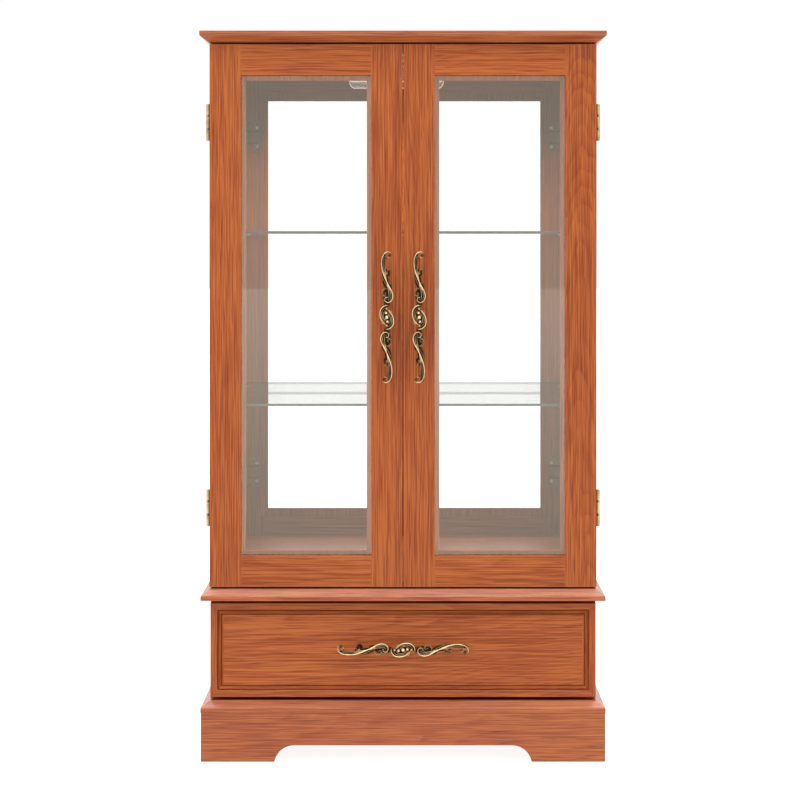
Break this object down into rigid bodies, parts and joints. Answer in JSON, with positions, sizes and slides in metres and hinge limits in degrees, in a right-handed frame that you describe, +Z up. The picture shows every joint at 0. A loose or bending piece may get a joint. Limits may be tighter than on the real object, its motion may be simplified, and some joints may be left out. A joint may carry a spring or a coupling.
{
  "type": "china cabinet with glass doors",
  "caption": "Upright display cabinet: glazed doors over a drawer, glass shelves in front of a mirror, a lamp under the top, bracket-foot plinth and cast scroll pulls.",
  "frame": {"origin": "centre of the bounding box's bottom face, on the floor", "axes": "+Z up, the front faces -Y, +X is the right-hand side seen from the front"},
  "size_m": [0.598, 0.313, 1.073],
  "materials": {
    "stained_oak": "warm red-brown stained oak under satin lacquer",
    "plain_wood": "unstained light hardwood",
    "hardboard": "brown hardboard, smooth face",
    "clear_glass": "clear float glass with grey-green edges",
    "mirror": "silvered mirror glass",
    "pale_brass": "brass-plated steel, lightly dulled",
    "antique_brass": "cast antique brass, dark in the hollows and bright on the ridges",
    "plated_steel": "zinc-plated steel",
    "slide_steel": "off-white epoxy-coated steel",
    "white_plastic": "moulded off-white plastic",
    "dark_plastic": "moulded dark brown plastic",
    "lamp_diffuser": "clear moulded plastic cover, slightly hazy",
    "lamp_leds": "white board with warm white lamps"
  },
  "bodies": {
    "root": {"top_board": "stained_oak", "upper_left_side": "stained_oak", "upper_right_side": "stained_oak", "waist_board": "stained_oak", "display_floor": "stained_oak", "lower_left_side": "stained_oak", "lower_right_side": "stained_oak", "base_board": "stained_oak", "plinth_front": "stained_oak", "plinth_left": "stained_oak", "plinth_right": "stained_oak", "plinth_back": "stained_oak", "corner_blocks": "plain_wood", "mirror": "mirror", "upper_back_panel": "hardboard", "lower_back_panel": "hardboard", "upper_shelf": "clear_glass", "lower_shelf": "clear_glass", "shelf_supports": "plated_steel", "joint_dowels": "plain_wood", "carcass_screws": "plated_steel", "hinge_frame_leaves": "pale_brass", "hinge_pins": "pale_brass", "magnetic_catch": "white_plastic", "lamp_base": "white_plastic", "lamp_cover": "lamp_diffuser", "lamp_board": "lamp_leds", "cable_grommet": "dark_plastic", "cabinet_slides": "slide_steel"},
    "left_door": {"left_outer_stile": "stained_oak", "left_inner_stile": "stained_oak", "left_top_rail": "stained_oak", "left_bottom_rail": "stained_oak", "left_glass": "clear_glass", "left_glazing_beads": "plain_wood", "left_door_leaves": "pale_brass", "left_strike_plate": "plated_steel", "left_handle": "antique_brass", "left_door_fasteners": "plated_steel"},
    "right_door": {"right_outer_stile": "stained_oak", "right_inner_stile": "stained_oak", "right_top_rail": "stained_oak", "right_bottom_rail": "stained_oak", "right_glass": "clear_glass", "right_glazing_beads": "plain_wood", "right_door_leaves": "pale_brass", "right_strike_plate": "plated_steel", "right_handle": "antique_brass", "right_door_fasteners": "plated_steel"},
    "drawer": {"drawer_front": "stained_oak", "drawer_inner_front": "plain_wood", "drawer_left_side": "plain_wood", "drawer_right_side": "plain_wood", "drawer_back": "plain_wood", "drawer_bottom": "hardboard", "drawer_bolts": "plated_steel", "drawer_slides": "slide_steel", "drawer_handle": "antique_brass"},
    "front_rollers": {"front_rollers": "white_plastic"},
    "rear_rollers": {"rear_rollers": "white_plastic"}
  },
  "joints": [
    {"name": "left_door_hinge", "type": "hinge", "parent": "root", "child": "left_door", "pos_m": [-0.2885, -0.11015, 0.6544], "axis": [0, 0, -1], "range_deg": [0, 180]},
    {"name": "right_door_hinge", "type": "hinge", "parent": "root", "child": "right_door", "pos_m": [0.2885, -0.11015, 0.6544], "axis": [0, 0, 1], "range_deg": [0, 180]},
    {"name": "drawer_slide", "type": "slide", "parent": "root", "child": "drawer", "axis": [0, -1, 0], "range_m": [0, 0.185]},
    {"name": "front_rollers_spin", "type": "hinge", "parent": "root", "child": "front_rollers", "pos_m": [0, -0.0948, 0.1066], "axis": [1, 0, 0], "range_deg": [0, 1180]},
    {"name": "rear_rollers_spin", "type": "hinge", "parent": "drawer", "child": "rear_rollers", "pos_m": [0, 0.1112, 0.1066], "axis": [1, 0, 0], "range_deg": [0, 1180]}
  ],
  "couplings": [
    {"joint": "front_rollers_spin", "follows": "drawer_slide", "rad_per_m": 111.11},
    {"joint": "rear_rollers_spin", "follows": "drawer_slide", "rad_per_m": 111.11}
  ]
}
